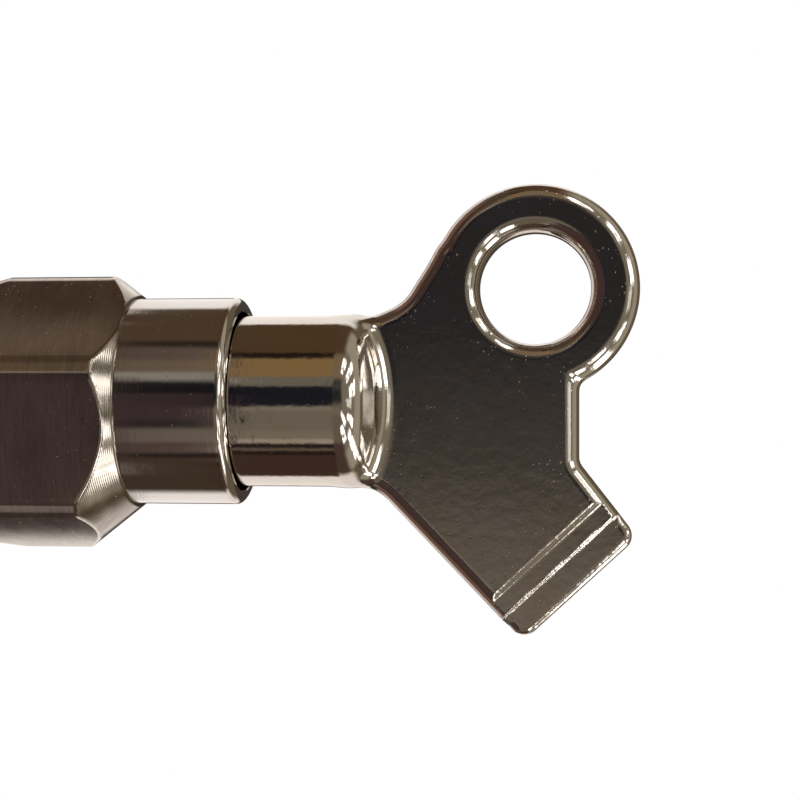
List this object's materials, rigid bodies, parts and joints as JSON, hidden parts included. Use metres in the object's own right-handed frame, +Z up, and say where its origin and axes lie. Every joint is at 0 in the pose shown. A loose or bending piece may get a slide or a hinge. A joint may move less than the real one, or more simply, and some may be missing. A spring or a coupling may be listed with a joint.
{
  "type": "radiator bleed key on valve head",
  "caption": "Plated bleed key with hanging ring, screwdriver blade and square socket, seated in the guard collar of a hexagon valve head with a non-rising spindle.",
  "frame": {"origin": "on the turned axis of the valve head, in the plane of the valve body's face that the head screws up to", "axes": "+X along the turned axis out towards the key, +Z up towards the key's hanging ring, -Y towards the plate's front face"},
  "size_m": [0.0623, 0.0182, 0.0299],
  "materials": {
    "plated_key": "polished nickel plate on die-cast zinc",
    "plated_collar": "polished nickel plate with fine turning marks",
    "plated_bonnet": "duller nickel plate over drawn hexagon bar",
    "spindle_brass": "turned brass",
    "bare_brass": "turned brass",
    "spring_steel": "bright stainless steel",
    "slide_plastic": "natural white slide plastic",
    "seal_rubber": "black sealing rubber",
    "disc_rubber": "black valve washer rubber"
  },
  "bodies": {
    "valve_head": {"bonnet": "plated_bonnet", "guard_collar": "plated_collar", "bonnet_seal_ring": "seal_rubber", "slide_washer": "slide_plastic", "clip_washer": "bare_brass"},
    "spindle": {"spindle": "spindle_brass", "spindle_ring_inner": "seal_rubber", "spindle_ring_outer": "seal_rubber", "spindle_clip": "spring_steel"},
    "carrier": {"valve_carrier": "bare_brass", "valve_disc": "disc_rubber", "disc_washer": "spring_steel", "disc_screw": "bare_brass"},
    "key": {"key": "plated_key"}
  },
  "joints": [
    {"name": "spindle_turn", "type": "hinge", "parent": "valve_head", "child": "spindle", "pos_m": [0, 0, 0], "axis": [1, 0, 0], "range_deg": [0, 900]},
    {"name": "carrier_lift", "type": "slide", "parent": "valve_head", "child": "carrier", "axis": [1, 0, 0], "range_m": [0, 0.0025]},
    {"name": "key_pull", "type": "slide", "parent": "spindle", "child": "key", "axis": [1, 0, 0], "range_m": [0, 0.02]}
  ],
  "couplings": [
    {"joint": "carrier_lift", "follows": "spindle_turn", "m_per_rad": 0.00015915}
  ]
}
